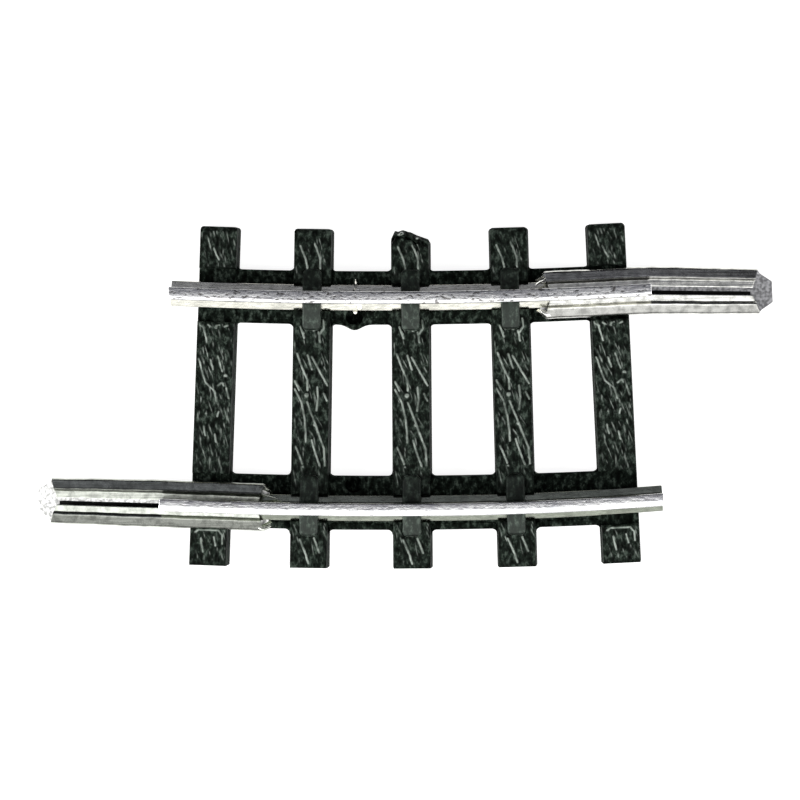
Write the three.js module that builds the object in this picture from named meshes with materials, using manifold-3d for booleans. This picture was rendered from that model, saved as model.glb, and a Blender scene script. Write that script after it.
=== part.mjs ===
// A short curved section of 9 mm gauge model railway track: five moulded sleepers joined by
// links under the rails, two flat-bottomed rails, and a folded sheet joiner on one end of each.
//
// Units are millimetres. The origin is on the base plane under the middle of the middle sleeper.
// +X runs along the track, +Y points to the centre of the curve, +Z is up.
//
// Most sub-parts are drawn straight, along X, with the track's centre line at y = 0. They are
// then bent round the curve (rails and links) or carried round it rigidly (sleepers, joiners).

import * as THREE from 'three';
import { ConvexGeometry } from 'three/addons/geometries/ConvexGeometry.js';
import { mergeVertices } from 'three/addons/utils/BufferGeometryUtils.js';
import Module from 'manifold-3d';

const wasm = await Module();
wasm.setup();

// ---------------------------------------------------------------- driving dimensions

const CURVE_RADIUS = 214;       // to the middle of the track
const CURVE_DEG = 6;            // turned by one section, joint line to joint line
const GAUGE = 9;                // between the inner sides of the rail heads
const JOINT_GAP = 0.08;         // each rail end stops this far short of the joint line

const SEAT_Z = 1.3;             // underside of the rail foot
const RAIL_HEIGHT = 2;
const HEAD_WIDTH = 0.56;
const HEAD_DEPTH = 0.42;
const STEM_WIDTH = 0.3;
const FOOT_WIDTH = 1.16;
const FOOT_EDGE = 0.18;         // thickness of the foot at its edge
const FOOT_ROOT = 0.32;         // and where it meets the stem

const SLEEPER_PLACES = [-9, -4.57, 0, 4.62, 9.2]; // along the middle of the track
const SLEEPER_TOP = 1.65;
const SLEEPER_WIDTH = 1.82;     // at the base
const OUTER_END = -7.52;        // where a sleeper's base stops, outside the curve
const INNER_END = 7.9;          // and inside it
const SIDE_DRAFT = 0.07;        // how far the sides and outer end lean in
const END_SLOPE = 0.22;         // how far the inner end, which slopes more, leans in
const SLOT_CLEARANCE = 0.03;    // beside and below the rail foot

const CHAIR_WIDTH = 0.85;       // along the rail
const CHAIR_REACH = 1.28;       // from the middle of the rail, away from the other rail
const LONG_CHAIR_REACH = 1.5;   // and towards it
const CHAIR_TOP = 2.02;
const CHAIR_LIP = 0.2;          // where the chair stops short of the rail's stem
const CHAIR_UNDERSIDE = 1.7;    // just clear of the foot
const CORE_REACH = 0.6;         // hole below each chair, from the middle of the rail

const LINK_WIDTH = 2.44;
const LINK_BOTTOM = 0.25;
const CHANNEL_FLOOR = 1.02;     // links and end sleepers are lower where a joiner slides in
const LINK_TOP = 1.26;          // links elsewhere
const OUTER_LINK_SHIFT = 0.23;  // the outer rail's links sit further in than the rail itself

const PIN_HOLE_RADIUS = 0.4;
const PIN_BOSS_RADIUS = 0.6;
const PIN_FLOOR = 0.5;          // the holes are blind
const PIN_OFFSET = 0.86;        // from the middle of the link, towards the middle of the track
const PIN_ALONG = -2.61;        // along the middle of the track

const SHEET = 0.18;             // joiner sheet thickness
const JOINER_HALF_WIDTH = 1;
const JOINER_HALF_LENGTH = 4.8; // of the folded sides, half of which grips the rail
const TAB_LENGTH = 0.35;        // floor beyond the folded sides, over the rail
const TONGUE_LENGTH = 0.8;      // and at the free end
const TONGUE_HALF_WIDTH = 0.5;  // at its tip

// ---------------------------------------------------------------- worked-out dimensions

const RAIL_OFFSET = GAUGE / 2 + HEAD_WIDTH / 2;
const RAIL_TOP = SEAT_Z + RAIL_HEIGHT;
const SLOT_HALF_WIDTH = FOOT_WIDTH / 2 + SLOT_CLEARANCE;
const SLOT_FLOOR = SEAT_Z - SLOT_CLEARANCE;
const RAILS = {
  inner: { y: RAIL_OFFSET, linkShift: 0, joinerEnd: 1, boss: true },
  outer: { y: -RAIL_OFFSET, linkShift: OUTER_LINK_SHIFT, joinerEnd: -1, boss: false },
};

// ---------------------------------------------------------------- materials

const MATERIALS = {
  plastic: { color: 0x2b2f2c, roughness: 0.55, metalness: 0 },
  rail: { color: 0xc9c7c0, roughness: 0.28, metalness: 1 },
  joiner: { color: 0xdad8d2, roughness: 0.2, metalness: 1 },
};

function namedMesh(name, geometry, look) {
  const mesh = new THREE.Mesh(geometry, new THREE.MeshStandardMaterial(MATERIALS[look]));
  mesh.name = name;
  return mesh;
}

// ---------------------------------------------------------------- shape helpers

// A prism of an outline in (y, z), along X. Extra steps let it be bent afterwards.
function prism(outline, fromX, toX, steps = 1) {
  const shape = new THREE.Shape(outline.map(([y, z]) => new THREE.Vector2(y, z)));
  const geometry = new THREE.ExtrudeGeometry(shape, {
    depth: toX - fromX,
    steps,
    bevelEnabled: false,
  });
  geometry.translate(0, 0, fromX);
  const outlineToWorld = new THREE.Matrix4().makeBasis(
    new THREE.Vector3(0, 1, 0),
    new THREE.Vector3(0, 0, 1),
    new THREE.Vector3(1, 0, 0),
  );
  return geometry.applyMatrix4(outlineToWorld);
}

// A flat plate of an outline in (x, y), between two heights.
function plate(outline, fromZ, toZ) {
  const shape = new THREE.Shape(outline.map(([x, y]) => new THREE.Vector2(x, y)));
  const geometry = new THREE.ExtrudeGeometry(shape, { depth: toZ - fromZ, bevelEnabled: false });
  return geometry.translate(0, 0, fromZ);
}

function box([x0, x1], [y0, y1], [z0, z1]) {
  return plate([[x0, y0], [x1, y0], [x1, y1], [x0, y1]], z0, z1);
}

function post(x, y, radius, fromZ, toZ) {
  const geometry = new THREE.CylinderGeometry(radius, radius, toZ - fromZ, 32);
  return geometry.rotateX(Math.PI / 2).translate(x, y, (fromZ + toZ) / 2);
}

// Both faces of a bent sheet, given the line down the middle of its thickness.
function sheetOutline(line, thickness) {
  const points = line.map(([y, z]) => new THREE.Vector2(y, z));
  const left = [];
  const right = [];
  points.forEach((point, i) => {
    const before = points[Math.max(i - 1, 0)];
    const after = points[Math.min(i + 1, points.length - 1)];
    const arriving = point.clone().sub(i > 0 ? before : after).multiplyScalar(i > 0 ? 1 : -1);
    const leaving = after.clone().sub(point);
    const along = arriving.clone().normalize();
    if (i < points.length - 1) along.add(leaving.normalize());
    along.normalize();
    const normal = new THREE.Vector2(-along.y, along.x);
    const mitre = normal.dot(new THREE.Vector2(-arriving.y, arriving.x).normalize());
    normal.multiplyScalar(thickness / 2 / mitre);
    left.push([point.x + normal.x, point.y + normal.y]);
    right.unshift([point.x - normal.x, point.y - normal.y]);
  });
  return [...left, ...right];
}

// ---------------------------------------------------------------- placing on the curve

// Bends a straight piece round the curve: x becomes the distance along the track's middle.
function bend(geometry) {
  const position = geometry.attributes.position;
  for (let i = 0; i < position.count; i += 1) {
    const angle = position.getX(i) / CURVE_RADIUS;
    const radius = CURVE_RADIUS - position.getY(i);
    position.setX(i, radius * Math.sin(angle));
    position.setY(i, CURVE_RADIUS - radius * Math.cos(angle));
  }
  return geometry;
}

// Carries a piece round the curve without bending it.
function turn(geometry, angle) {
  return geometry
    .translate(0, -CURVE_RADIUS, 0)
    .rotateZ(angle)
    .translate(0, CURVE_RADIUS, 0);
}

// ---------------------------------------------------------------- solids

function toManifold(geometry) {
  const bare = geometry.clone();
  bare.deleteAttribute('normal');
  bare.deleteAttribute('uv');
  const merged = mergeVertices(bare, 1e-5);
  return new wasm.Manifold(new wasm.Mesh({
    numProp: 3,
    vertProperties: new Float32Array(merged.attributes.position.array),
    triVerts: new Uint32Array(merged.index.array),
  }));
}

function toGeometry(manifold) {
  const mesh = manifold.getMesh();
  const geometry = new THREE.BufferGeometry();
  geometry.setAttribute('position', new THREE.BufferAttribute(mesh.vertProperties, 3));
  geometry.setIndex(new THREE.BufferAttribute(mesh.triVerts, 1));
  geometry.computeVertexNormals();
  return geometry;
}

// The added shapes as one solid, less the cut shapes.
function carve(added, cut = []) {
  let solid = toManifold(added[0]);
  for (const shape of added.slice(1)) solid = solid.add(toManifold(shape));
  for (const shape of cut) solid = solid.subtract(toManifold(shape));
  return toGeometry(solid);
}

// ---------------------------------------------------------------- rails

function railOutline(centreY) {
  const headBottom = RAIL_TOP - HEAD_DEPTH;
  const rightHalf = [
    [FOOT_WIDTH / 2, SEAT_Z],
    [FOOT_WIDTH / 2, SEAT_Z + FOOT_EDGE],
    [STEM_WIDTH / 2 + 0.08, SEAT_Z + FOOT_ROOT],
    [STEM_WIDTH / 2, SEAT_Z + FOOT_ROOT + 0.1],
    [STEM_WIDTH / 2, headBottom - 0.08],
    [HEAD_WIDTH / 2, headBottom + 0.04],
    [HEAD_WIDTH / 2, RAIL_TOP - 0.1],
    [HEAD_WIDTH / 2 - 0.03, RAIL_TOP - 0.03],
    [HEAD_WIDTH / 2 - 0.1, RAIL_TOP],
  ];
  const leftHalf = rightHalf.map(([y, z]) => [-y, z]).reverse();
  return [...rightHalf, ...leftHalf].map(([y, z]) => [y + centreY, z]);
}

function railHalfLength(rail) {
  const halfTurn = THREE.MathUtils.degToRad(CURVE_DEG / 2);
  const gapAngle = JOINT_GAP / (CURVE_RADIUS - rail.y);
  return (halfTurn - gapAngle) * CURVE_RADIUS;
}

function railGeometry(rail) {
  const reach = railHalfLength(rail);
  return carve([bend(prism(railOutline(rail.y), -reach, reach, 36))]);
}

// ---------------------------------------------------------------- sleepers

function sleeperBlock() {
  const corners = [];
  for (const side of [-1, 1]) {
    const base = side * SLEEPER_WIDTH / 2;
    const top = side * (SLEEPER_WIDTH / 2 - SIDE_DRAFT);
    corners.push(new THREE.Vector3(base, OUTER_END, 0));
    corners.push(new THREE.Vector3(top, OUTER_END + SIDE_DRAFT, SLEEPER_TOP));
    corners.push(new THREE.Vector3(base, INNER_END, 0));
    corners.push(new THREE.Vector3(top, INNER_END - END_SLOPE, SLEEPER_TOP));
  }
  return new ConvexGeometry(corners);
}

// A chair holds down one side of the rail foot. Its section is drawn for the +Y side.
function chair(rail, side) {
  const reach = side === Math.sign(rail.y) ? CHAIR_REACH : LONG_CHAIR_REACH;
  const section = [
    [CHAIR_LIP, CHAIR_UNDERSIDE],
    [SLOT_HALF_WIDTH, CHAIR_UNDERSIDE],
    [SLOT_HALF_WIDTH, SLOT_FLOOR],
    [reach, SLOT_FLOOR],
    [reach, SLEEPER_TOP + 0.1],
    [reach - 0.2, CHAIR_TOP - 0.1],
    [CHAIR_LIP + 0.15, CHAIR_TOP],
    [CHAIR_LIP, CHAIR_TOP - 0.06],
  ];
  const placed = section.map(([y, z]) => [rail.y + side * y, z]);
  return prism(placed, -CHAIR_WIDTH / 2, CHAIR_WIDTH / 2);
}

// The hole up through the sleeper below the part of a chair that overhangs the foot.
function coreHole(rail, side) {
  const near = rail.y + side * CHAIR_LIP;
  const far = rail.y + side * CORE_REACH;
  const halfWidth = CHAIR_WIDTH / 2;
  return box(
    [-halfWidth, halfWidth],
    [Math.min(near, far), Math.max(near, far)],
    [-1, CHAIR_UNDERSIDE - 0.01],
  );
}

function cutAcross(rail, halfWidth, shift, floor) {
  const middle = rail.y + shift;
  return box([-2, 2], [middle - halfWidth, middle + halfWidth], [floor, SLEEPER_TOP + 1]);
}

// Inner sleepers have a slot for each rail foot, with a chair on both sides of it.
function chairedSleeper() {
  let solid = toManifold(sleeperBlock());
  for (const rail of Object.values(RAILS)) {
    solid = solid.subtract(toManifold(cutAcross(rail, SLOT_HALF_WIDTH, 0, SLOT_FLOOR)));
    for (const side of [-1, 1]) {
      solid = solid.add(toManifold(chair(rail, side)));
      solid = solid.subtract(toManifold(coreHole(rail, side)));
    }
  }
  return toGeometry(solid);
}

// End sleepers have a wide plain channel instead, so that a joiner can slide under the rail.
function channelledSleeper() {
  const channels = Object.values(RAILS).map(
    (rail) => cutAcross(rail, LINK_WIDTH / 2, rail.linkShift, CHANNEL_FLOOR),
  );
  return carve([sleeperBlock()], channels);
}

function isEndSleeper(i) {
  return i === 0 || i === SLEEPER_PLACES.length - 1;
}

function sleeperAngle(i) {
  return SLEEPER_PLACES[i] / CURVE_RADIUS;
}

function sleeperGeometry(i) {
  const straight = isEndSleeper(i) ? channelledSleeper() : chairedSleeper();
  return turn(straight, sleeperAngle(i));
}

// ---------------------------------------------------------------- links

// A link fills the gap between two sleepers under one rail, ending on their leaning sides.
function linkGeometry(rail, i) {
  const top = isEndSleeper(i) || isEndSleeper(i + 1) ? CHANNEL_FLOOR : LINK_TOP;
  const middle = rail.y + rail.linkShift;
  const section = [
    [middle - LINK_WIDTH / 2, LINK_BOTTOM],
    [middle + LINK_WIDTH / 2, LINK_BOTTOM],
    [middle + LINK_WIDTH / 2, top],
    [middle - LINK_WIDTH / 2, top],
  ];
  const [fromX, toX] = [SLEEPER_PLACES[i], SLEEPER_PLACES[i + 1]];
  const added = [bend(prism(section, fromX, toX, 6))];
  const cut = [turn(sleeperBlock(), sleeperAngle(i)), turn(sleeperBlock(), sleeperAngle(i + 1))];
  if (fromX < PIN_ALONG && PIN_ALONG < toX) {
    const y = middle - Math.sign(rail.y) * PIN_OFFSET;
    const angle = PIN_ALONG / CURVE_RADIUS;
    if (rail.boss) added.push(turn(post(0, y, PIN_BOSS_RADIUS, LINK_BOTTOM, top), angle));
    cut.push(turn(post(0, y, PIN_HOLE_RADIUS, PIN_FLOOR, top + 1), angle));
  }
  return carve(added, cut);
}

// ---------------------------------------------------------------- joiners

// Half the folded section, from the middle of the floor, round the fold and up to the lip.
function joinerHalfLine() {
  const floor = SEAT_Z - 0.04 - SHEET / 2;
  const side = JOINER_HALF_WIDTH - SHEET / 2;
  return [
    [side - 0.22, floor],
    [side - 0.07, floor + 0.07],
    [side, floor + 0.22],
    [side, floor + 0.46],
    [side - 0.06, floor + 0.6],
    [side - 0.17, floor + 0.66],
    [side - 0.29, floor + 0.61],
    [side - 0.38, floor + 0.52],
    [side - 0.48, floor + 0.54],
    [side - 0.58, floor + 0.68],
    [STEM_WIDTH / 2 + 0.04 + SHEET / 2, floor + 0.9],
  ];
}

function joinerSection(centreY) {
  const rightHalf = joinerHalfLine();
  const leftHalf = rightHalf.map(([y, z]) => [-y, z]).reverse();
  const line = [...leftHalf, ...rightHalf];
  return sheetOutline(line, SHEET).map(([y, z]) => [y + centreY, z]);
}

// The floor runs on beyond the folded sides: short tabs over the rail, a tongue at the free end.
function joinerFloor(centreY, end) {
  const top = SEAT_Z - 0.04;
  const width = JOINER_HALF_WIDTH - SHEET / 2 - 0.22;
  const tab = -(JOINER_HALF_LENGTH + TAB_LENGTH);
  const tip = JOINER_HALF_LENGTH + TONGUE_LENGTH;
  const outline = [
    [tab, -width],
    [JOINER_HALF_LENGTH, -width],
    [tip, -TONGUE_HALF_WIDTH],
    [tip, TONGUE_HALF_WIDTH],
    [JOINER_HALF_LENGTH, width],
    [tab, width],
  ];
  const placed = outline.map(([x, y]) => [end * x, end * y + centreY]);
  return plate(placed, top - SHEET, top);
}

// Drawn with the rail's end at x = 0, then put tangent to the middle of the gripped length.
function joinerGeometry(rail) {
  const folded = prism(joinerSection(rail.y), -JOINER_HALF_LENGTH, JOINER_HALF_LENGTH);
  const solid = carve([folded, joinerFloor(rail.y, rail.joinerEnd)]);
  const halfGrip = JOINER_HALF_LENGTH / 2;
  const endAngle = railHalfLength(rail) / CURVE_RADIUS;
  const gripAngle = endAngle - halfGrip / (CURVE_RADIUS - rail.y);
  solid.translate(rail.joinerEnd * halfGrip, 0, 0);
  return turn(solid, rail.joinerEnd * gripAngle);
}

// ---------------------------------------------------------------- assembly

const section = new THREE.Group();
section.name = 'track_section';

for (let i = 0; i < SLEEPER_PLACES.length; i += 1) {
  section.add(namedMesh(`sleeper_${i + 1}`, sleeperGeometry(i), 'plastic'));
}

for (const [name, rail] of Object.entries(RAILS)) {
  for (let i = 0; i < SLEEPER_PLACES.length - 1; i += 1) {
    section.add(namedMesh(`link_${name}_${i + 1}`, linkGeometry(rail, i), 'plastic'));
  }
  section.add(namedMesh(`rail_${name}`, railGeometry(rail), 'rail'));
  section.add(namedMesh(`joiner_${name}`, joinerGeometry(rail), 'joiner'));
}

export default section;
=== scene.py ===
"""The looks of a short curved piece of 9 mm gauge model railway track.

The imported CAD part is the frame. Its sleepers and links are replaced by one moulded sleeper
base with raised wood grain, its rails by drawn rails with rounded heads, and its joiners by
folded sheet. Shapes are worked out in millimetres in the part's own frame, and only made into
metres when a mesh is built.

Two frames of working are used for shapes. "Along the curve" is (s, v, z): s runs along the
middle of the track, v is the distance from it towards the centre of the curve, and the point is
then bent round the curve. "Across a sleeper" is (x, y, z) with y along the sleeper, and the
point is then carried round the curve with the sleeper.
"""

import math

import bpy
import numpy as np
from mathutils import Matrix, Vector


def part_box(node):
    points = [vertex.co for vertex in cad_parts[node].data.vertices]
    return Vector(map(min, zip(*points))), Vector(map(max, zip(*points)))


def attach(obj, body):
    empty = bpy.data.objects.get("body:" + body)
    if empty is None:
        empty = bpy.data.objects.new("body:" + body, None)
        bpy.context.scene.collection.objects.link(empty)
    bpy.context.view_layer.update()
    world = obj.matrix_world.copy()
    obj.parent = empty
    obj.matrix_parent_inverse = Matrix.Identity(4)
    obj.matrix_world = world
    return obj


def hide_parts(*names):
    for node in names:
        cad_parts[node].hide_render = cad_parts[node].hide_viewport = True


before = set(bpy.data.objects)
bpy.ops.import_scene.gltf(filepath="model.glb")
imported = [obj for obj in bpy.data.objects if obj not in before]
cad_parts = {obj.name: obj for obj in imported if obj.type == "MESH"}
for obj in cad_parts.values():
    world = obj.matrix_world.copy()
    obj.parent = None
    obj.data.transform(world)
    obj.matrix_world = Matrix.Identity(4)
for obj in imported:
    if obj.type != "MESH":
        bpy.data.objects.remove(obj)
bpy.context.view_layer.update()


# ---------------------------------------------------------------- dimensions, in millimetres

def low(node, axis):
    """The least coordinate of a CAD node along an axis."""
    return 1000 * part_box(node)[0][axis]


def high(node, axis):
    """The greatest coordinate of a CAD node along an axis."""
    return 1000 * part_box(node)[1][axis]


X, Y, Z = 0, 1, 2

CURVE_RADIUS = 214.0
HALF_TURN = math.radians(3.0)
JOINT_GAP = 0.08

RAIL_TOP = high("rail_inner", Z)
SEAT_Z = low("rail_inner", Z)
RAIL_OFFSET = 4.78
HEAD_HALF = 0.28
FOOT_HALF = 0.58
STEM_HALF = 0.15

SLEEPER_TOP = high("sleeper_1", Z)
SLEEPER_HALF_BASE = (high("sleeper_3", X) - low("sleeper_3", X)) / 2
SIDE_DRAFT = 0.07
OUTER_END = low("sleeper_3", Y)
INNER_END = high("sleeper_3", Y)
INNER_BEVEL = 0.22          # how far in from the inner end the top starts to slope down
INNER_BEVEL_SLOPE = 0.8
INNER_CORNER = 0.16         # radius of the inner end's corners, seen from above
SLEEPER_MIDDLE = (OUTER_END + INNER_END) / 2
SLEEPER_EDGE = 0.035        # radius along the top's edges
RECESS_EDGE = 0.06          # and where the top is cut down

SLOT_HALF = 0.61
SLOT_FLOOR = SEAT_Z - 0.03
LINK_HALF = 1.22
LINK_BOTTOM = low("link_inner_2", Z)
LINK_TOP = high("link_inner_2", Z)
CHANNEL_FLOOR = high("link_inner_1", Z)

CHAIR_HALF_WIDTH = 0.425
CHAIR_REACH = 1.28
LONG_CHAIR_REACH = 1.5
CHAIR_TOP = high("sleeper_3", Z)
CHAIR_LIP = 0.2
CHAIR_UNDERSIDE = SEAT_Z + 0.4

PIN_OFFSET = 0.86
PIN_ALONG = -2.61
PIN_HOLE_RADIUS = 0.4
PIN_COLLAR_RADIUS = 0.56
PIN_FLOOR = 0.5
PIN_SWELL = 0.25            # how far the inner rail's link bulges out beside its pin hole

SHEET = 0.15
JOINER_HALF_WIDTH = 1.08
JOINER_HALF_LENGTH = 4.8
CLAW_START = -4.72          # where the joiner's floor turns in and down, along the gripped rail

# Each rail's place, how far its links lie from under it, and the small irregularities of its
# assembly: how its joiner leans, rolls and has slid out, how far the rail's bare end has sprung,
# where the crest of its worn head lies, and how far the head falls from there towards the centre
# of the curve.
RAILS = {
    "inner": {
        "v": RAIL_OFFSET, "link_shift": 0.0, "joiner_end": 1,
        "lean": -3.4, "roll": 0.0, "slid": 0.0, "spring": 0.0, "crest": -0.13, "fall": 0.003,
    },
    "outer": {
        "v": -RAIL_OFFSET, "link_shift": 0.23, "joiner_end": -1,
        "lean": -0.4, "roll": 3.0, "slid": 0.15, "spring": 0.1, "crest": -0.03, "fall": 0.002,
    },
}


def sleeper_angle(number):
    """How far round the curve a sleeper is, from where its CAD node lies."""
    node = f"sleeper_{number}"
    middle_x = (low(node, X) + high(node, X)) / 2
    return math.asin(middle_x / (CURVE_RADIUS - SLEEPER_MIDDLE))


SLEEPERS = {number: sleeper_angle(number) for number in range(1, 6)}
CHAIR_SLEEPERS = (2, 3, 4)
TORN_SLEEPER = 3
LINKS = (1, 2, 3, 4)        # each from the sleeper of the same number to the next one


def rail_half_length(rail):
    """Half a rail's length, measured along the middle of the track."""
    return (HALF_TURN - JOINT_GAP / (CURVE_RADIUS - rail["v"])) * CURVE_RADIUS


# ---------------------------------------------------------------- placing on the curve

def bend(points):
    """(s, v, z) along the curve to the part's frame."""
    s, v, z = np.moveaxis(np.asarray(points, float), -1, 0)
    angle = s / CURVE_RADIUS
    radius = CURVE_RADIUS - v
    return np.stack([radius * np.sin(angle), CURVE_RADIUS - radius * np.cos(angle), z], -1)


def carry(points, angle):
    """A rigid piece drawn at the middle of the track, carried round the curve."""
    x, y, z = np.moveaxis(np.asarray(points, float), -1, 0)
    y = y - CURVE_RADIUS
    cosine, sine = math.cos(angle), math.sin(angle)
    return np.stack([cosine * x - sine * y, sine * x + cosine * y + CURVE_RADIUS, z], -1)


# ---------------------------------------------------------------- mesh helpers

def make_object(name, points, faces, material, smooth_angle=35):
    """A shaded object from points in millimetres."""
    mesh = bpy.data.meshes.new(name)
    mesh.from_pydata((np.asarray(points).reshape(-1, 3) / 1000).tolist(), [], faces)
    mesh.validate()
    mesh.update()
    mesh.materials.append(material)
    for polygon in mesh.polygons:
        polygon.use_smooth = True
    mesh.set_sharp_from_angle(angle=math.radians(smooth_angle))
    made = bpy.data.objects.new(name, mesh)
    bpy.context.scene.collection.objects.link(made)
    return made


def loft(name, loops, material):
    """A closed body through a row of closed loops, each an array of the same length."""
    loops = np.asarray(loops)
    count, size = loops.shape[:2]
    faces = []
    for row in range(count - 1):
        near, far = row * size, (row + 1) * size
        for i in range(size):
            j = (i + 1) % size
            faces.append([near + i, near + j, far + j, far + i])
    faces.append(list(range(size))[::-1])
    faces.append([(count - 1) * size + i for i in range(size)])
    made = make_object(name, loops, faces, material)
    turn_outward(made)
    return made


def turn_outward(body):
    """Flips a closed body whose faces point inward."""
    mesh = body.data
    points = np.empty(len(mesh.vertices) * 3)
    mesh.vertices.foreach_get("co", points)
    points = points.reshape(-1, 3)
    mesh.calc_loop_triangles()
    corners = np.array([t.vertices[:] for t in mesh.loop_triangles])
    a, b, c = (points[corners[:, k]] for k in range(3))
    if np.einsum("ij,ij->i", a, np.cross(b, c)).sum() < 0:
        mesh.flip_normals()


def combine(body, others, operation):
    """Joins other closed bodies to a body, or cuts them from it."""
    for other in others:
        modifier = body.modifiers.new("combine", "BOOLEAN")
        modifier.operation = operation
        modifier.solver = "MANIFOLD"
        modifier.object = other
        with bpy.context.temp_override(object=body, active_object=body):
            bpy.ops.object.modifier_apply(modifier=modifier.name)
        bpy.data.objects.remove(other)


def rounded_outline(corners, steps=5):
    """A smooth outline from corners given as (a, b, radius)."""
    points = [np.array(corner[:2], float) for corner in corners]
    outline = []
    for i, corner in enumerate(corners):
        here, before, after = points[i], points[i - 1], points[(i + 1) % len(points)]
        outline += round_corner(before, here, after, corner[2], steps)
    return np.array(outline)


def round_corner(before, here, after, radius, steps):
    """The points of an arc that replaces one corner."""
    if radius <= 0:
        return [here]
    back = (before - here) / np.linalg.norm(before - here)
    ahead = (after - here) / np.linalg.norm(after - here)
    half = math.acos(np.clip(back @ ahead, -1, 1)) / 2
    reach = radius / math.tan(half)
    bisector = (back + ahead) / np.linalg.norm(back + ahead)
    centre = here + bisector * radius / math.sin(half)
    start = here + back * reach - centre
    end = here + ahead * reach - centre
    swept = math.pi - 2 * half
    return [
        centre + (start * math.sin((1 - t) * swept) + end * math.sin(t * swept)) / math.sin(swept)
        for t in np.linspace(0, 1, steps + 1)
    ]


def rounding(distance, radius):
    """How far a rounded edge falls below its flat face, at a distance from the edge."""
    inside = np.clip(radius - distance, 0, radius)
    return radius - np.sqrt(radius ** 2 - inside ** 2)


# ---------------------------------------------------------------- materials

def new_material(name):
    """A material, its node tree, its shader and its texture coordinates."""
    made = bpy.data.materials.new(name)
    made.use_nodes = True
    tree = made.node_tree
    shader = tree.nodes["Principled BSDF"]
    place = tree.nodes.new("ShaderNodeTexCoord").outputs["Object"]
    return made, tree, shader, place


def scaled(tree, place, scale):
    """Texture coordinates stretched by a scale along each axis."""
    node = tree.nodes.new("ShaderNodeMapping")
    node.inputs["Scale"].default_value = scale
    tree.links.new(place, node.inputs["Vector"])
    return node.outputs["Vector"]


def noise(tree, place, scale, detail=4.0, roughness=0.55):
    node = tree.nodes.new("ShaderNodeTexNoise")
    node.inputs["Scale"].default_value = scale
    node.inputs["Detail"].default_value = detail
    node.inputs["Roughness"].default_value = roughness
    tree.links.new(place, node.inputs["Vector"])
    return node.outputs["Fac"]


def ramp(tree, value, stops):
    """A colour or grey ramp, from stops of (position, colour)."""
    node = tree.nodes.new("ShaderNodeValToRGB")
    elements = node.color_ramp.elements
    while len(elements) < len(stops):
        elements.new(0.5)
    for element, (position, colour) in zip(elements, stops):
        element.position = position
        element.color = (*colour, 1) if len(colour) == 3 else (colour[0],) * 3 + (1,)
    tree.links.new(value, node.inputs["Fac"])
    return node.outputs["Color"]


def bump(tree, shader, height, distance, strength=1.0, below=None):
    node = tree.nodes.new("ShaderNodeBump")
    node.inputs["Strength"].default_value = strength
    node.inputs["Distance"].default_value = distance
    tree.links.new(height, node.inputs["Height"])
    if below is not None:
        tree.links.new(below, node.inputs["Normal"])
    tree.links.new(node.outputs["Normal"], shader.inputs["Normal"])
    return node.outputs["Normal"]


def height_between(tree, place, from_z, to_z):
    """0 at one height in millimetres and 1 at another, for blending by height."""
    split = tree.nodes.new("ShaderNodeSeparateXYZ")
    tree.links.new(place, split.inputs["Vector"])
    node = tree.nodes.new("ShaderNodeMapRange")
    node.inputs["From Min"].default_value = from_z / 1000
    node.inputs["From Max"].default_value = to_z / 1000
    tree.links.new(split.outputs["Z"], node.inputs["Value"])
    return node.outputs["Result"]


def mixed(tree, amount, first, second):
    """One colour turning into another."""
    node = tree.nodes.new("ShaderNodeMixRGB")
    tree.links.new(amount, node.inputs["Fac"])
    tree.links.new(first, node.inputs["Color1"])
    tree.links.new(second, node.inputs["Color2"])
    return node.outputs["Color"]


def sleeper_plastic():
    """Near-black green-grey moulding, with the crests of its wood grain pale: partly rubbed wear,
    partly a painted highlight.
    """
    made, tree, shader, place = new_material("sleeper_plastic")
    texture = noise(tree, scaled(tree, place, (1, 0.6, 1)), 4200, detail=5, roughness=0.7)
    clean = ramp(tree, texture, [
        (0.42, (0.001, 0.0015, 0.001)), (0.53, (0.008, 0.012, 0.009)), (0.64, (0.05, 0.065, 0.053)),
    ])
    wear = noise(tree, place, 2600, detail=4)
    # Pale colour on the grain's crests: partly rubbed wear, partly a painted highlight standing for
    # the light the crests catch.
    rubbed_and_highlit = ramp(tree, wear, [(0.35, (0.07, 0.085, 0.072)), (0.65, (0.34, 0.38, 0.34))])
    crest = ramp(
        tree,
        height_between(tree, place, SLEEPER_TOP, SLEEPER_TOP + 0.14),
        [(0.0, (0,)), (0.1, (0,)), (0.33, (1,)), (0.8, (1,)), (1.0, (0,))],
    )
    tree.links.new(mixed(tree, crest, clean, rubbed_and_highlit), shader.inputs["Base Color"])
    polished = noise(tree, place, 1100, detail=4)
    gloss = ramp(tree, polished, [(0.3, (0.3,)), (0.7, (0.46,))])
    matt = ramp(tree, polished, [(0.3, (0.75,)), (0.7, (0.85,))])
    raised = height_between(tree, place, SEAT_Z, SLEEPER_TOP - SLEEPER_EDGE)
    tree.links.new(mixed(tree, raised, matt, gloss), shader.inputs["Roughness"])
    shine = ramp(
        tree,
        height_between(tree, place, SLEEPER_TOP, CHAIR_TOP),
        [(0.0, (0.04,)), (0.1, (0.35,)), (0.2, (0.35,)), (0.5, (0.36,))],
    )
    tree.links.new(shine, shader.inputs["Specular IOR Level"])
    shader.inputs["Specular Tint"].default_value = (0.88, 1.0, 0.9, 1)
    bump(tree, shader, texture, 0.00003, 0.8)
    return made


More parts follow.
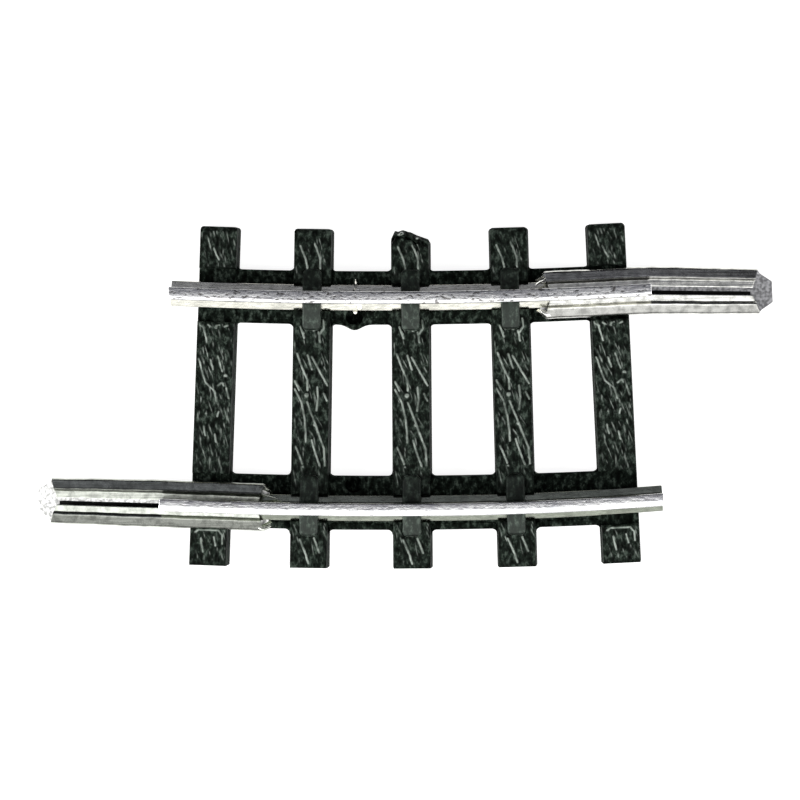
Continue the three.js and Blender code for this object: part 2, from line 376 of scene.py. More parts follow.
def drawn_metal(name, seed, pitted, foot_painted_tone):
    """Nickel silver, polished on the head and dull on the foot, with pits where wheels arced. The
    foot's tone is given per rail and is painted light and shade.
    """
    made, tree, shader, place = new_material(name)
    shader.inputs["Metallic"].default_value = 1.0
    lines = noise(tree, scaled(tree, place, (1, 38, 24)), 190 + seed, detail=5, roughness=0.6)
    stain = noise(tree, place, 1300 + seed, detail=5)
    pits = noise(tree, scaled(tree, place, (0.7, 1.6, 1)), 5200 + seed, detail=2)
    head = ramp(tree, stain, [(0.3, (0.52, 0.52, 0.54)), (0.6, (0.74, 0.74, 0.74))])
    pitting = ramp(tree, pits, [(0.36, (pitted,)), (0.43, (0.0,))])
    dark = ramp(tree, stain, [(0.4, (0.07, 0.065, 0.06)), (0.6, (0.12, 0.11, 0.1))])
    # The foot's tone carries painted light and shade: each rail's foot is given its own tone to
    # stand for how lit it is.
    dull = tuple(0.72 * part for part in foot_painted_tone)
    foot = ramp(tree, stain, [(0.35, dull), (0.6, foot_painted_tone)])
    raised = height_between(tree, place, RAIL_TOP - 0.9, RAIL_TOP - 0.4)
    colour = mixed(tree, raised, foot, mixed(tree, pitting, head, dark))
    tree.links.new(colour, shader.inputs["Base Color"])
    gloss = ramp(tree, lines, [(0.25, (0.11,)), (0.75, (0.3,))])
    tree.links.new(gloss, shader.inputs["Roughness"])
    dents = bump(tree, shader, pits, 0.00002, 0.35)
    bump(tree, shader, lines, 0.000008, 0.5, below=dents)
    return made


def joiner_sheet(name, face_colour, channel_floor_painted_tone):
    """Bright rolled sheet, lightly tarnished, and duller on the floor of its channel, whose colour
    is given per joiner and is painted light and shade.
    """
    made, tree, shader, place = new_material(name)
    shader.inputs["Metallic"].default_value = 1.0
    tarnish = noise(tree, place, 2600, detail=4)
    dimmed = tuple(0.6 * part for part in face_colour)
    clean = ramp(tree, tarnish, [(0.34, dimmed), (0.58, face_colour)])
    # Painted light and shade on the channel floor: darkened as shade on the inner joiner, lit
    # near-white on the outer.
    stained = tuple(0.4 * part for part in channel_floor_painted_tone)
    floor = ramp(tree, noise(tree, place, 7000), [(0.4, stained), (0.6, channel_floor_painted_tone)])
    raised = height_between(tree, place, SEAT_Z + 0.04, SEAT_Z + 0.3)
    tree.links.new(mixed(tree, raised, floor, clean), shader.inputs["Base Color"])
    lines = noise(tree, scaled(tree, place, (1, 30, 30)), 260, detail=5)
    bright = ramp(tree, lines, [(0.3, (0.13,)), (0.75, (0.3,))])
    dull = ramp(tree, lines, [(0.3, (0.34,)), (0.75, (0.44,))])
    tree.links.new(mixed(tree, raised, dull, bright), shader.inputs["Roughness"])
    bump(tree, shader, lines, 0.00001, 0.5)
    return made


def painted_lip_shadow():
    """Near-black painted shadow on the floor of a joiner's channel, below its lip."""
    made, tree, shader, place = new_material("painted_lip_shadow")
    lumps = noise(tree, place, 3000)
    colour = ramp(tree, lumps, [(0.4, (0.004, 0.004, 0.004)), (0.7, (0.012, 0.012, 0.011))])
    tree.links.new(colour, shader.inputs["Base Color"])
    shader.inputs["Roughness"].default_value = 0.8
    shader.inputs["Specular IOR Level"].default_value = 0.1
    bump(tree, shader, lumps, 0.00003)
    return made


PLASTIC = sleeper_plastic()
# The two rails' feet differ by painted light and shade: a lit cream foot on the inner rail, a foot
# painted dark as shade on the outer.
RAIL_METAL = {
    "inner": drawn_metal("rail_metal_inner", 7, 0.85, (0.95, 0.94, 0.84)),
    "outer": drawn_metal("rail_metal_outer", 31, 0.25, (0.4, 0.43, 0.36)),
}
# The channel floor colours are painted: shade on the inner joiner's floor, light on the outer's.
JOINER_METAL = {
    "inner": joiner_sheet("joiner_sheet_inner", (0.76, 0.76, 0.72), (0.36, 0.36, 0.37)),
    "outer": joiner_sheet("joiner_sheet_outer", (0.5, 0.52, 0.47), (0.95, 0.95, 0.93)),
}
LIP_SHADE_PAINT = painted_lip_shadow()


# ---------------------------------------------------------------- wood grain

# The bolder ridges of the two grain patterns that the mould repeats, as lines of (x, y) across a
# sleeper. Fainter streaks are scattered between them.
BOLD_RIDGES = {
    "middle": [
        [(-0.64, 2.23), (-0.42, 1.63), (-0.15, 1.02), (-0.15, 0.57)],
        [(0.04, 2.08), (0.45, 1.33), (0.76, 0.80)],
        [(-0.15, 2.16), (0.04, 1.52)],
        [(-0.72, 0.98), (-0.53, 0.57)],
        [(-0.72, 0.61), (-0.42, 0.04), (-0.27, -0.64), (-0.19, -1.40), (-0.19, -1.78)],
        [(-0.15, 0.04), (0.08, -0.57), (0.23, -0.95), (0.45, -1.55), (0.64, -2.08)],
        [(0.64, -2.08), (0.70, -2.84)],
        [(-0.64, -2.0), (-0.45, -2.46), (-0.34, -2.77)],
        [(0.08, -1.7), (0.23, -2.23), (0.45, -2.84)],
        [(0.60, 0.42), (0.74, 0.11)],
        [(0.30, 0.72), (0.34, 0.19), (0.27, -0.34)],
        [(-0.50, 3.45), (-0.34, 2.95)],
        [(0.32, 3.2), (0.40, 2.75)],
        [(-0.55, 7.1), (-0.30, 6.5), (-0.22, 6.1)],
        [(0.10, 7.2), (0.34, 6.6), (0.36, 6.1)],
        [(-0.40, -6.2), (-0.12, -6.9), (0.0, -7.3)],
        [(0.25, -6.15), (0.50, -6.8)],
        [(0.52, 3.75), (0.56, 3.4), (0.40, 3.16)],
        [(-0.45, 3.3), (-0.36, 3.14)],
    ],
    "end": [
        [(-0.71, 1.86), (-0.37, 0.80), (0.06, 0.42), (0.15, -0.04)],
        [(0.16, 2.0), (0.37, 1.33)],
        [(-0.57, 3.37), (-0.36, 2.61)],
        [(0.59, 0.57), (0.71, 0.11)],
        [(0.20, 0.68), (0.39, 0.83), (0.46, 0.68)],
        [(-0.18, 1.86), (-0.05, 1.4)],
        [(0.13, -1.55), (0.20, -1.89)],
        [(-0.38, -1.2), (-0.30, -1.6)],
        [(0.27, -0.5), (0.22, -0.72)],
        [(-0.2, 6.9), (0.05, 6.4)],
        [(0.25, -6.2), (0.34, -6.6)],
        [(-0.35, -6.3), (-0.22, -6.9)],
        [(-0.70, 3.4), (-0.52, 3.3)],
        [(-0.33, 3.42), (-0.2, 3.34)],
        [(0.02, 3.38), (0.16, 3.43)],
        [(0.42, 3.36), (0.55, 3.42)],
        [(-0.6, -6.0), (-0.45, -5.9), (0.45, -5.9), (0.62, -6.1), (0.64, -6.5)],
    ],
}
# Round knots, as (x, y, radius).
KNOTS = {
    "middle": [(-0.19, 0.34, 0.085), (0.21, -1.0, 0.07), (0.1, 3.3, 0.06), (-0.3, -2.9, 0.05)],
    "end": [(0.53, 1.14, 0.07), (0.42, 0.78, 0.06), (0.0, 3.3, 0.06), (-0.3, -0.6, 0.05)],
}
# The width of the bold ridges, and for each pattern their height, the number and height of the
# faint streaks, and the height of the mottling.
RIDGE_WIDTH = 0.045
RIDGE_HEIGHT = {"middle": 0.065, "end": 0.055}
STREAKS = {"middle": (120, 0.022), "end": (240, 0.024)}
MOTTLE = {"middle": 0.0035, "end": 0.005}


def segment_distance(x, y, start, end):
    """Distance from points to a line segment, and how far along it they are, from 0 to 1."""
    start, end = np.array(start), np.array(end)
    line = end - start
    t = np.clip(((x - start[0]) * line[0] + (y - start[1]) * line[1]) / (line @ line), 0, 1)
    return np.hypot(x - start[0] - t * line[0], y - start[1] - t * line[1]), t


def scattered_streaks(pattern):
    """Short faint streaks, leaning the same way as the bold ridges."""
    count, height = STREAKS[pattern]
    chance = np.random.default_rng(11 if pattern == "middle" else 23)
    streaks = []
    for _ in range(count):
        x, y = chance.uniform(-0.8, 0.8), chance.uniform(OUTER_END, INNER_END)
        lean = math.radians(chance.normal(15, 7))
        length = chance.uniform(0.2, 0.8)
        end = (x + length * math.sin(lean), y - length * math.cos(lean))
        width = chance.uniform(0.022, 0.05)
        streaks.append(((x, y), end, width, height * chance.uniform(0.5, 1.6)))
    return streaks


def grain_height(x, y, pattern):
    """Height of the wood grain above a sleeper's flat top."""
    height = np.zeros_like(x)
    for start, end, width, tall in scattered_streaks(pattern):
        near = np.abs(y - (start[1] + end[1]) / 2) < 0.8
        distance, t = segment_distance(x[near], y[near], start, end)
        ridge = tall * np.exp(-(distance / width) ** 2) * np.sin(math.pi * (0.15 + 0.7 * t))
        height[near] = np.maximum(height[near], ridge)
    for ridge_line in BOLD_RIDGES[pattern]:
        for start, end in zip(ridge_line, ridge_line[1:]):
            distance, _ = segment_distance(x, y, start, end)
            ridge = RIDGE_HEIGHT[pattern] * np.exp(-(distance / RIDGE_WIDTH) ** 2)
            height = np.maximum(height, ridge)
    for knot_x, knot_y, size in KNOTS[pattern]:
        distance = np.hypot(x - knot_x, y - knot_y)
        height = np.maximum(height, 1.1 * size * np.exp(-(distance / size) ** 2))
    return height + mottle(x, y, pattern)


def mottle(x, y, pattern):
    """Fine unevenness of the moulded top, longer along the grain than across it."""
    chance = np.random.default_rng(5 if pattern == "middle" else 6)
    waves = 40
    height = np.zeros_like(x)
    for _ in range(waves):
        across, along = chance.uniform(12, 42), chance.uniform(-18, 18)
        height += np.cos(across * x + along * y + chance.uniform(0, 2 * math.pi))
    return MOTTLE[pattern] * height / math.sqrt(waves / 2)


# ---------------------------------------------------------------- moulded sleeper base

def is_end(number):
    return number in (1, 5)


def recesses(number):
    """The stretches of a sleeper's top that are cut down, as (low y, high y, floor)."""
    cuts = []
    for rail in RAILS.values():
        if is_end(number):
            middle, half, floor = rail["v"] + rail["link_shift"], LINK_HALF, CHANNEL_FLOOR
        else:
            middle, half, floor = rail["v"], SLOT_HALF, SLOT_FLOOR
        cuts.append((middle - half, middle + half, floor))
    return cuts


def sleeper_stations(number):
    """Where along a sleeper its outline is drawn, close together at walls and ends."""
    near_wall = (0.01, 0.025, 0.045, 0.07)
    near_end = (0, 0.004, 0.012, 0.025, 0.04, 0.06)
    stations = list(np.arange(OUTER_END, INNER_END, 0.04))
    for wall in [y for cut in recesses(number) for y in cut[:2]]:
        for step in near_wall:
            stations += [wall - step, wall + step]
    for end in (OUTER_END, INNER_END):
        inward = 1 if end < 0 else -1
        stations += [end + inward * step for step in near_end]
    stations = np.unique(np.round(stations, 4))
    return stations[(stations >= OUTER_END) & (stations <= INNER_END)]


def top_profile(y, number):
    """Height of a sleeper's top along it, before its grain, and how much grain there is."""
    from_end = np.minimum(y - OUTER_END, INNER_END - y)
    top = SLEEPER_TOP - rounding(from_end, SLEEPER_EDGE)
    top = top - INNER_BEVEL_SLOPE * np.clip(INNER_BEVEL - (INNER_END - y), 0, None)
    grain = np.clip(from_end / 0.3, 0, 1)
    for start, end, floor in recesses(number):
        from_wall = np.maximum(start - y, y - end)
        recessed = from_wall < 0
        top = np.where(recessed, floor, top - rounding(np.abs(from_wall), RECESS_EDGE))
        grain = np.where(recessed, 0, grain * np.clip(from_wall / 0.1, 0, 1))
    return top, grain


def sleeper_points(number, across=60):
    """Points of a straight sleeper: for each station, bottom, right side, top and left side."""
    y = sleeper_stations(number)
    top, grain = (values[:, None] for values in top_profile(y, number))
    half_base = SLEEPER_HALF_BASE - rounding(INNER_END - y[:, None], INNER_CORNER)
    half_top = half_base - SIDE_DRAFT * top / SLEEPER_TOP
    rise = np.linspace(0, 1, 7)[:-1]
    side_x = half_base + (half_top - half_base) * rise
    side_z = (top - SLEEPER_EDGE) * rise
    edge = SLEEPER_EDGE * np.array([0, 0.3, 0.65]) + 0 * half_top
    flat = SLEEPER_EDGE + 2 * (half_top - SLEEPER_EDGE) * np.linspace(0, 1, across)
    spread = np.hstack([edge, flat, 2 * half_top - edge[:, ::-1]])
    top_x = half_top - spread
    from_edge = half_top - np.abs(top_x)
    height = grain_height(top_x, y[:, None] + 0 * top_x, pattern_of(number))
    top_z = top - rounding(from_edge, SLEEPER_EDGE)
    top_z = top_z + grain * np.clip(from_edge / 0.08, 0, 1) * height
    bottom_x = half_base * np.linspace(-1, 1, 7)[:-1]
    x = np.hstack([bottom_x, side_x, top_x, -side_x[:, ::-1]])
    z = np.hstack([0 * bottom_x, side_z, top_z, side_z[:, ::-1]])
    return np.stack([x, y[:, None] + 0 * x, z], -1)


def pattern_of(number):
    return "end" if is_end(number) else "middle"


# The torn end's outline, as (x, how far out it reaches), and where along the sleeper it starts.
TORN_EDGE = [(-0.92, 7.46), (-0.68, 7.81), (-0.18, 7.84), (0.27, 7.61), (0.81, 7.43), (0.92, 7.3)]
TORN_START = 6.9
TORN_DEPTH = 0.4
TORN_ABOVE = 1.2            # only the top is rough, and the sides below this height are straight


def tear_inner_end(points):
    """The rough slanting end that is left where the moulding was cut from its runner."""
    x, y, z = np.moveaxis(points, -1, 0)
    rough = z > TORN_ABOVE
    limit = np.interp(x, *zip(*TORN_EDGE)) + 0.03 * np.sin(17 * x + 1) * np.sin(5 * z)
    weight = np.clip((y - TORN_START) / (INNER_END - TORN_START), 0, 1)
    y = np.where(y > TORN_START, TORN_START + (limit - TORN_START) * weight, y)
    inward = limit - y
    torn = np.clip(1 - inward / TORN_DEPTH, 0, 1) * rough
    lumps = 0.12 + 0.1 * np.sin(9 * x + 2) + 0.07 * np.sin(21 * x + 9 * y)
    lumps = (lumps + 0.12 * np.clip((x - 0.1) / 0.4, 0, 1)) * torn ** 0.7
    lip = 0.24 * np.exp(-((x + 0.45) / 0.22) ** 2 - ((inward - 0.14) / 0.07) ** 2)
    lip += 0.16 * np.exp(-((x - 0.4) / 0.2) ** 2 - ((inward - 0.12) / 0.05) ** 2)
    slit = 0.2 * np.exp(-((inward - 0.33 - 0.1 * x) / 0.05) ** 2) * (x < 0.3)
    return np.stack([x, y, z - lumps + (lip - slit) * rough], -1)


def sleeper_body(number):
    points = sleeper_points(number)
    if number == TORN_SLEEPER:
        points = tear_inner_end(points)
    return loft(f"moulded_sleeper_{number}", carry(points, SLEEPERS[number]), PLASTIC)


def chair_body(number, rail, side):
    """The moulded chair that holds down one side of a rail's foot."""
    reach = CHAIR_REACH if side * rail["v"] > 0 else LONG_CHAIR_REACH
    slope_start, fall = 0.4, 0.16
    corner, edge = 0.24, 0.09
    steps = [0.22, 0.27, 0.35, 0.45, 0.55, SLOT_HALF - 0.01, SLOT_HALF + 0.01, 0.75, 0.9]
    from_end = np.array([0.28, 0.21, 0.15, 0.1, 0.06, 0.03, 0.01, 0.0])
    loops = []
    for out in [CHAIR_LIP, *steps, *(reach - from_end)]:
        half = CHAIR_HALF_WIDTH - rounding(reach - out, corner)
        top = CHAIR_TOP - rounding(out - CHAIR_LIP, 0.06)
        sloped = np.clip((out - slope_start) / (reach - slope_start), 0, 1)
        top -= fall * sloped + rounding(reach - out, corner / 2)
        bottom = CHAIR_UNDERSIDE if out < SLOT_HALF else SLOT_FLOOR - 0.1
        corners = [(-half, bottom, 0), (half, bottom, 0), (half, top, edge), (-half, top, edge)]
        outline = rounded_outline(corners)
        v = np.full(len(outline), rail["v"] + side * out)
        loops.append(np.column_stack([outline[:, 0], v, outline[:, 1]]))
    return loft("chair", carry(np.array(loops), SLEEPERS[number]), PLASTIC)


def box_body(x_range, y_range, z_range, angle):
    """A square block, carried round the curve."""
    loops = []
    for y in y_range:
        (x0, x1), (z0, z1) = x_range, z_range
        loops.append([(x0, y, z0), (x1, y, z0), (x1, y, z1), (x0, y, z1)])
    return loft("block", carry(np.array(loops), angle), PLASTIC)


def core_hole(number, rail, side):
    """The hole up through the sleeper below a chair, left by the tool that forms it."""
    edges = sorted(rail["v"] + side * out for out in (CHAIR_LIP, SLOT_HALF - 0.01))
    half = CHAIR_HALF_WIDTH - 0.01
    return box_body((-half, half), edges, (-1, CHAIR_UNDERSIDE - 0.02), SLEEPERS[number])


def link_outline(rail, half, swell, top):
    """Section of a link: a raised ledge along its outer side, and faint ribs along the rest."""
    out = math.copysign(1, rail["v"])
    middle = rail["v"] + rail["link_shift"]
    ledge, groove = half - 0.27, top - 0.06
    inner_side = -half - swell
    across = [(half, LINK_BOTTOM, 0.02), (half, top, 0.04), (ledge, top, 0.03)]
    across.append((ledge - 0.05, groove, 0.03))
    for rib, rib_half in ((-0.66, 0.04), (-0.95, 0.03)):
        across += [(rib + rib_half, groove, 0), (rib, groove + 0.02, 0), (rib - rib_half, groove, 0)]
    across += [(inner_side + 0.09, groove, 0.02), (inner_side + 0.07, top, 0.03)]
    across += [(inner_side, top, 0.04), (inner_side, LINK_BOTTOM, 0.02)]
    return rounded_outline([(middle + out * v, z, radius) for v, z, radius in across], steps=3)


def link_body(name, number):
    """The strip under a rail between a sleeper and the next, flared where it meets them."""
    rail = RAILS[name]
    from_s = SLEEPERS[number] * CURVE_RADIUS
    to_s = SLEEPERS[number + 1] * CURVE_RADIUS
    top = CHANNEL_FLOOR if is_end(number) or is_end(number + 1) else LINK_TOP
    wall = SLEEPER_HALF_BASE - 0.05
    flare = 0.24
    near = np.concatenate([[-0.3, -0.02], np.linspace(0, flare, 8)])
    between = np.arange(from_s + wall + 0.3, to_s - wall - 0.27, 0.05)
    stations = np.concatenate([from_s + wall + near, between, (to_s - wall - near)[::-1]])
    loops = []
    for s in stations:
        clear = min(s - from_s, to_s - s) - wall
        half = LINK_HALF + rounding(np.clip(clear, 0, None), flare)
        from_pin = (s - PIN_ALONG) / PIN_HOLE_RADIUS
        swell = PIN_SWELL * math.exp(-from_pin ** 2) if name == "inner" else 0
        outline = link_outline(rail, half, swell, top)
        loops.append(np.column_stack([np.full(len(outline), s), outline]))
    return loft("link", bend(np.array(loops)), PLASTIC)


def pin_v(rail):
    """Where a pin hole is across the track, beside its rail and nearer the middle."""
    return rail["v"] + rail["link_shift"] - math.copysign(PIN_OFFSET, rail["v"])


def post_body(rail, radius, from_z, to_z, edge=0.0):
    """An upright round post at a pin hole, kept within the link's edge."""
    turns = np.linspace(0, 2 * math.pi, 49)[:-1]
    limit = rail["v"] + rail["link_shift"] - math.copysign(LINK_HALF - 0.02, rail["v"])
    heights = [
        (from_z, radius), (to_z - edge, radius), (to_z - edge / 3, radius - edge / 3),
        (to_z, radius - edge),
    ]
    loops = []
    for z, r in heights:
        v = pin_v(rail) + r * np.sin(turns)
        v = np.minimum(v, limit) if limit > pin_v(rail) else np.maximum(v, limit)
        loops.append(np.column_stack([r * np.cos(turns), v, np.full(len(turns), z)]))
    return loft("post", carry(np.array(loops), PIN_ALONG / CURVE_RADIUS), PLASTIC)


def moulded_base():
    """Sleepers, links and chairs as one moulding."""
    rails = RAILS.values()
    base, *others = [sleeper_body(number) for number in SLEEPERS]
    combine(base, others, "UNION")
    combine(base, [link_body(name, number) for name in RAILS for number in LINKS], "UNION")
    collars = [post_body(rail, PIN_COLLAR_RADIUS, LINK_BOTTOM, LINK_TOP, 0.05) for rail in rails]
    combine(base, collars, "UNION")
    chairs = [(n, rail, side) for n in CHAIR_SLEEPERS for rail in rails for side in (-1, 1)]
    combine(base, [chair_body(*chair) for chair in chairs], "UNION")
    combine(base, [core_hole(*chair) for chair in chairs], "DIFFERENCE")
    holes = [post_body(rail, PIN_HOLE_RADIUS, PIN_FLOOR, RAIL_TOP) for rail in rails]
    combine(base, holes, "DIFFERENCE")
    base.name = "sleeper_moulding"
    base.data.set_sharp_from_angle(angle=math.radians(35))
    return base


# ---------------------------------------------------------------- rails

def rail_outline(rail):
    """Section of a rail, as (v, z) about its middle, with its head worn down on either side."""
    half = [
        (FOOT_HALF, SEAT_Z, 0.03),
        (FOOT_HALF, SEAT_Z + 0.18, 0.04),
        (STEM_HALF + 0.02, SEAT_Z + 0.36, 0.22),
        (STEM_HALF, RAIL_TOP - 0.5, 0.06),
        (HEAD_HALF, RAIL_TOP - 0.4, 0.03),
    ]
    other_half = [(-v, z, radius) for v, z, radius in half[::-1]]
    head = [
        (HEAD_HALF, RAIL_TOP - rail["fall"], 0.05), (rail["crest"], RAIL_TOP, 0.4),
        (-HEAD_HALF, RAIL_TOP - 0.018, 0.05),
    ]
    return rounded_outline(half + head + other_half, steps=6)


def shaving(line, width, material):
    """A thin curl of metal along a line of points."""
    line = np.array(line, float)
    count = 4 * (len(line) - 1) + 1
    at = np.linspace(0, len(line) - 1, count)
    middle = np.column_stack([np.interp(at, range(len(line)), line[:, k]) for k in range(3)])
    turns = np.linspace(0, 2 * math.pi, 9)[:-1]
    along = np.gradient(middle, axis=0)
    along /= np.linalg.norm(along, axis=1, keepdims=True)
    across = np.cross(along, (0, 0, 1))
    across /= np.linalg.norm(across, axis=1, keepdims=True)
    up = np.cross(across, along)
    size = width / 2 * (0.35 + 0.65 * np.sin(np.linspace(0.1, math.pi - 0.1, count)))
    loops = [
        m + s * (np.outer(np.cos(turns), a) + 0.6 * np.outer(np.sin(turns), u))
        for m, s, a, u in zip(middle, size, across, up)
    ]
    return loft("shaving", np.array(loops), material)


def rail_shavings(rail):
    """The burr where the rail was staked beside the pin hole, on both sides of its foot."""
    stake, top = PIN_ALONG + 0.05, SEAT_Z + 0.2
    lines = [
        ([(0.0, 0.84, top), (0.03, 0.6, top - 0.02), (-0.03, 0.4, top + 0.1)], 0.09),
        ([(-0.03, 0.4, top + 0.1), (-0.05, 0.33, 2.9), (0.1, 0.3, 3.15), (0.28, 0.37, 3.0)], 0.09),
        ([(-0.09, -0.62, top), (0.0, -0.67, top - 0.02), (0.09, -0.62, top)], 0.17),
        ([(0.1, -0.5, top + 0.01), (0.2, -0.53, top), (0.3, -0.5, top + 0.01)], 0.05),
    ]
    return [
        (bend([(stake + s, rail["v"] + v, z) for s, v, z in line]), width)
        for line, width in lines
    ]


def rail_body(name, rail):
    """A rail drawn along the curve, with its end edges broken and its bare end sprung."""
    outline = rail_outline(rail)
    reach = rail_half_length(rail)
    bevel = 0.03
    spring_start, spring_length = 2, 9
    outward = outline - outline.mean(axis=0)
    outward /= np.linalg.norm(outward, axis=1, keepdims=True)
    stations = np.concatenate([[-reach], np.linspace(bevel - reach, reach - bevel, 240), [reach]])
    loops = []
    for s in stations:
        inset = bevel * 0.6 if abs(s) > reach - bevel / 2 else 0
        shrunk = outline - inset * outward
        sprung = rail["spring"] * np.clip((s - spring_start) / spring_length, 0, 1) ** 2
        v, z = shrunk[:, 0] + rail["v"] + sprung, np.maximum(shrunk[:, 1], SEAT_Z)
        loops.append(np.column_stack([np.full(len(outline), s), v, z]))
    body = loft(f"drawn_rail_{name}", bend(np.array(loops)), RAIL_METAL[name])
    if name == "inner":
        combine(body, [shaving(*facts, RAIL_METAL[name]) for facts in rail_shavings(rail)], "UNION")
    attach(body, "track")
    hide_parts(f"rail_{name}")


# ---------------------------------------------------------------- joiners

def fold_line():
    """Half the folded section, as (v, z) up the middle of the sheet, from floor to lip.

    The side folds in over the rail's foot as a sloping shoulder, drops a step, and ends in a
    nearly level lip beside the rail's stem.
    """
    floor = SEAT_Z - 0.04 - SHEET / 2
    side = JOINER_HALF_WIDTH - SHEET / 2
    corners = [
        (0.0, floor, 0),
        (side, floor, 0.12),
        (side, floor + 0.48, 0.08),
        (0.62, floor + 0.69, 0.01),
        (0.515, floor + 0.59, 0.02),
        (STEM_HALF + 0.03, floor + 0.602, 0),
    ]
    points = [np.array(corner[:2]) for corner in corners]
    line = [points[0]]
    for before, corner, after in zip(points, corners[1:], points[2:]):
        line += round_corner(before, np.array(corner[:2]), after, corner[2], 8)
    line.append(points[-1])
    return resampled(np.array(line), 0.04)


def resampled(line, step):
    """The same line with evenly spaced points, and how far along it each one is."""
    lengths = np.concatenate([[0], np.cumsum(np.linalg.norm(np.diff(line, axis=0), axis=1))])
    along = np.linspace(0, lengths[-1], round(lengths[-1] / step) + 1)
    points = np.column_stack([np.interp(along, lengths, line[:, k]) for k in (0, 1)])
    return points, along


def joiner_ends(along, full):
    """Where the sheet starts and stops, for each distance from its middle to its lips."""
    free = np.interp(along, [0.0, 0.5, 0.85, 1.0, 1.5, full], [5.53, 5.53, 5.05, 4.9, 4.88, 4.62])
    grip = np.interp(
        along,
        [0.0, 0.8, 1.0, 1.25, 1.45, 1.6, full],
        [-5.0, -5.0, CLAW_START, CLAW_START, -5.15, -4.75, -4.55],
    )
    return grip, free


def joiner_grid(rail):
    """Points of the sheet and which of them take the painted shadow under the lip, drawn with the
    rail's end at u = 0.
    """
    points, along = fold_line()
    section = np.vstack([points[:0:-1] * (-1, 1), points])
    spread = np.concatenate([along[:0:-1], along])
    grip, free = joiner_ends(spread, along[-1])
    t = np.linspace(0, 1, 150)[:, None]
    u = grip + (free - grip) * t
    taper = 1 - 0.06 * np.clip(u / JOINER_HALF_LENGTH, 0, 1) ** 1.5
    claw = np.clip(CLAW_START - u, 0, 1)
    v = section[:, 0] * taper * (1 - 0.8 * claw)
    z = section[:, 1] - 0.3 * claw + v * math.tan(math.radians(rail["roll"]))
    wobble = 0.006 * np.sin(2.3 * u + rail["v"]) + 0.004 * np.sin(7.1 * u)
    v = v + wobble * (np.abs(section[:, 0]) > 0.3)
    v = v + np.clip(u, 0, None) * math.tan(math.radians(rail["lean"]))
    lip_shadow = 0.62
    # The floor under one lip, along most of the channel, is marked for the painted shadow.
    under_lip_shade = (spread < lip_shadow) & (section[:, 0] < -0.02) & (u < 4.5)
    return np.stack([u, v, z], -1), under_lip_shade


# Slivers of sheet left at the gripping end of each joiner, as points (u, v, z) and a width.
TORN_TABS = {
    "inner": [
        ([(-4.5, -0.93, 1.74), (-4.75, -0.86, 1.8), (-5.05, -0.64, 1.74)], 0.2),
        ([(-4.65, 0.86, 1.8), (-4.9, 0.66, 1.84), (-5.2, 0.46, 1.74)], 0.12),
    ],
    "outer": [
        ([(-4.55, -0.9, 1.7), (-4.8, -0.98, 1.74), (-5.15, -0.84, 1.66)], 0.2),
        ([(-4.7, 0.62, 1.86), (-5.0, 0.52, 1.8), (-5.3, 0.44, 1.7), (-5.6, 0.36, 1.68)], 0.11),
    ],
}


def joiner_body(name, rail):
    """A folded sheet joiner in its place, with the slivers torn from it."""
    grid, under_lip_shade = joiner_grid(rail)
    body = sheet_body(f"folded_joiner_{name}", place_joiner(grid, rail), JOINER_METAL[name], under_lip_shade)
    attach(body, f"{name}_joiner")
    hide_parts(f"joiner_{name}")
    for number, (line, width) in enumerate(TORN_TABS[name], 1):
        tab = shaving(place_joiner(np.array(line), rail), width, JOINER_METAL[name])
        tab.name = f"torn_tab_{name}_{number}"
        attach(tab, f"{name}_joiner")


def place_joiner(grid, rail):
    """Points (u, v, z) of a joiner, carried to the rail's end and tangent to its grip."""
    end = rail["joiner_end"]
    half_grip = JOINER_HALF_LENGTH / 2
    angle = rail_half_length(rail) / CURVE_RADIUS - half_grip / (CURVE_RADIUS - rail["v"])
    x = end * (grid[..., 0] + half_grip + rail["slid"])
    y = rail["v"] + grid[..., 1]
    return carry(np.stack([x, y, grid[..., 2]], -1), end * angle)


def sheet_body(name, grid, material, under_lip_shade):
    """A grid of points given the sheet's thickness and softened edges, with some of it in painted
    shadow.
    """
    rows, columns = grid.shape[:2]
    faces = []
    for r in range(rows - 1):
        for c in range(columns - 1):
            corner = r * columns + c
            faces.append([corner, corner + 1, corner + columns + 1, corner + columns])
    body = make_object(name, grid, faces, material)
    body.data.materials.append(LIP_SHADE_PAINT)
    for polygon in body.data.polygons:
        polygon.material_index = int(under_lip_shade.flat[min(polygon.vertices)])
    edge_softening = 0.02
    thick = body.modifiers.new("thickness", "SOLIDIFY")
    thick.thickness = SHEET / 1000
    thick.offset = 0
    thick.use_even_offset = True
    soft = body.modifiers.new("edges", "BEVEL")
    soft.width = edge_softening / 1000
    soft.segments = 2
    soft.limit_method = "ANGLE"
    soft.angle_limit = math.radians(50)
    for modifier in ("thickness", "edges"):
        with bpy.context.temp_override(object=body, active_object=body):
            bpy.ops.object.modifier_apply(modifier=modifier)
    for polygon in body.data.polygons:
        polygon.use_smooth = True
    body.data.set_sharp_from_angle(angle=math.radians(40))
    return body


# ---------------------------------------------------------------- camera, light and floor

# How the camera is turned, in degrees, and how far it is from the point it turns about, in metres.
CAMERA_TILTS = ((-1.0, "X"), (1.4, "Y"), (-0.37, "Z"))
CAMERA_FROM_RAILS = (-0.000464, 0.000173, 0.2)


def add_camera():
    """A long lens almost straight above, turned about a point level with the rails' tops."""
    data = bpy.data.cameras.new("camera")
    data.sensor_width = 36
    data.lens = 200
    data.clip_start = 0.01
    camera = bpy.data.objects.new("camera", data)
    bpy.context.scene.collection.objects.link(camera)
    place = Matrix.Translation((0, 0, RAIL_TOP / 1000))
    for degrees, axis in CAMERA_TILTS:
        place = place @ Matrix.Rotation(math.radians(degrees), 4, axis)
    camera.matrix_world = place @ Matrix.Translation(CAMERA_FROM_RAILS)
    bpy.context.scene.camera = camera


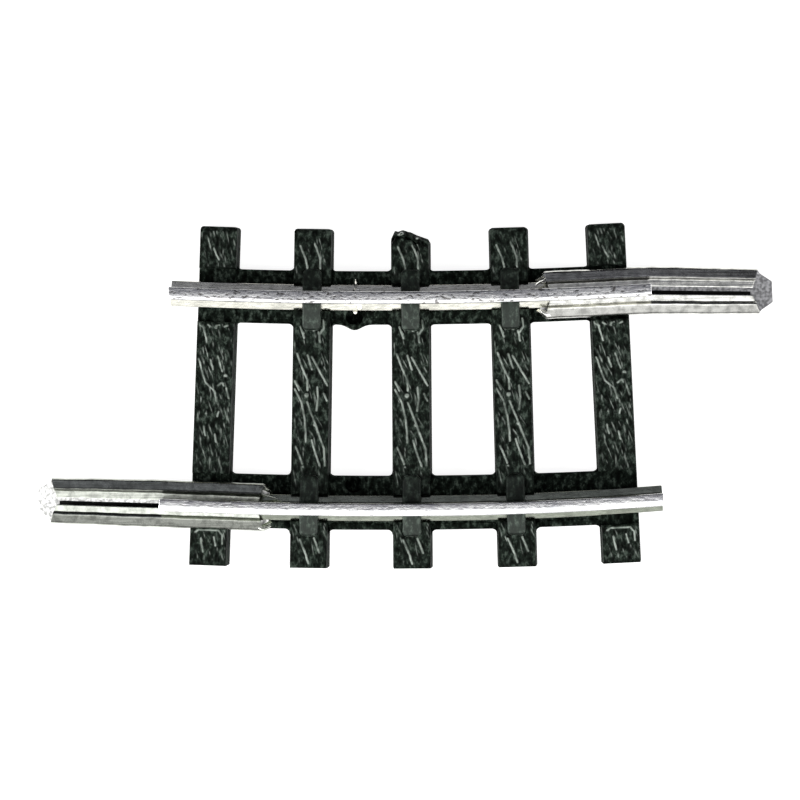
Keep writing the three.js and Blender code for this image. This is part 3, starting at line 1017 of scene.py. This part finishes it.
def add_softbox(name, position, size, energy):
    """A rectangular light that faces the middle of the track."""
    data = bpy.data.lights.new(name, "AREA")
    data.shape = "RECTANGLE"
    data.size, data.size_y = size
    data.energy = energy
    light = bpy.data.objects.new(name, data)
    bpy.context.scene.collection.objects.link(light)
    light.location = position
    light.rotation_euler = Vector(position).to_track_quat("Z", "Y").to_euler()


# Brightness of the studio from one side of the track to the other, as (direction's y, brightness):
# a wide softbox on the outside of the curve, dim straight above, and dark on the inside apart from
# one low strip. The dim side is faintly blue.
STUDIO = [
    (-1.0, 0.06), (-0.95, 0.1), (-0.90, 0.7), (-0.76, 1.1), (-0.66, 2.4), (-0.10, 2.4),
    (-0.054, 1.35), (-0.022, 0.5), (0.10, 0.26), (0.30, 0.04), (0.74, 0.04), (0.765, 0.42),
    (0.795, 0.42), (0.84, 0.02), (1.0, 0.01),
]
STUDIO_PEAK = max(brightness for _, brightness in STUDIO)
SHADE_START = -0.02
SHADE_TINT = (0.93, 0.95, 1.07)


def add_world():
    """A soft studio all round, that only changes from one side of the track to the other."""
    world = bpy.data.worlds.new("studio")
    bpy.context.scene.world = world
    world.use_nodes = True
    tree = world.node_tree
    place = tree.nodes.new("ShaderNodeTexCoord")
    split = tree.nodes.new("ShaderNodeSeparateXYZ")
    tree.links.new(place.outputs["Generated"], split.inputs["Vector"])
    across = tree.nodes.new("ShaderNodeMapRange")
    across.inputs["From Min"].default_value = -1
    tree.links.new(split.outputs["Y"], across.inputs["Value"])
    stops = []
    for y, brightness in STUDIO:
        tint = SHADE_TINT if y > SHADE_START else (1, 1, 1)
        stops.append(((y + 1) / 2, tuple(brightness / STUDIO_PEAK * part for part in tint)))
    shade = ramp(tree, across.outputs["Result"], stops)
    tree.links.new(shade, tree.nodes["Background"].inputs["Color"])
    tree.nodes["Background"].inputs["Strength"].default_value = STUDIO_PEAK


def add_floor():
    """A wide floor just below the part's base."""
    reach, gap = 600, 0.02
    corners = [(reach * x, reach * y, -gap) for x, y in ((-1, -1), (1, -1), (1, 1), (-1, 1))]
    floor = make_object("floor", corners, [[0, 1, 2, 3]], floor_material())


def floor_material():
    """Plain pale grey that glows a little, so that it stays even and nearly white."""
    made = bpy.data.materials.new("floor")
    made.use_nodes = True
    shader = made.node_tree.nodes["Principled BSDF"]
    shader.inputs["Base Color"].default_value = (0.4, 0.4, 0.39, 1)
    shader.inputs["Roughness"].default_value = 0.9
    shader.inputs["Emission Color"].default_value = (1, 1, 1, 1)
    shader.inputs["Emission Strength"].default_value = 0.9
    return made


add_camera()
add_world()
add_floor()
add_softbox("left", (-0.26, -0.06, 0.24), (0.16, 0.1), 0.45)
add_softbox("right", (0.3, 0.02, 0.2), (0.16, 0.1), 0.15)
bpy.context.scene.view_settings.view_transform = "Standard"


# ---------------------------------------------------------------- the part

base = moulded_base()
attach(base, "track")
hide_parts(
    *[f"sleeper_{number}" for number in SLEEPERS],
    *[f"link_{name}_{number}" for name in RAILS for number in (1, 2, 3, 4)],
)

for rail_name, rail_facts in RAILS.items():
    rail_body(rail_name, rail_facts)
    joiner_body(rail_name, rail_facts)
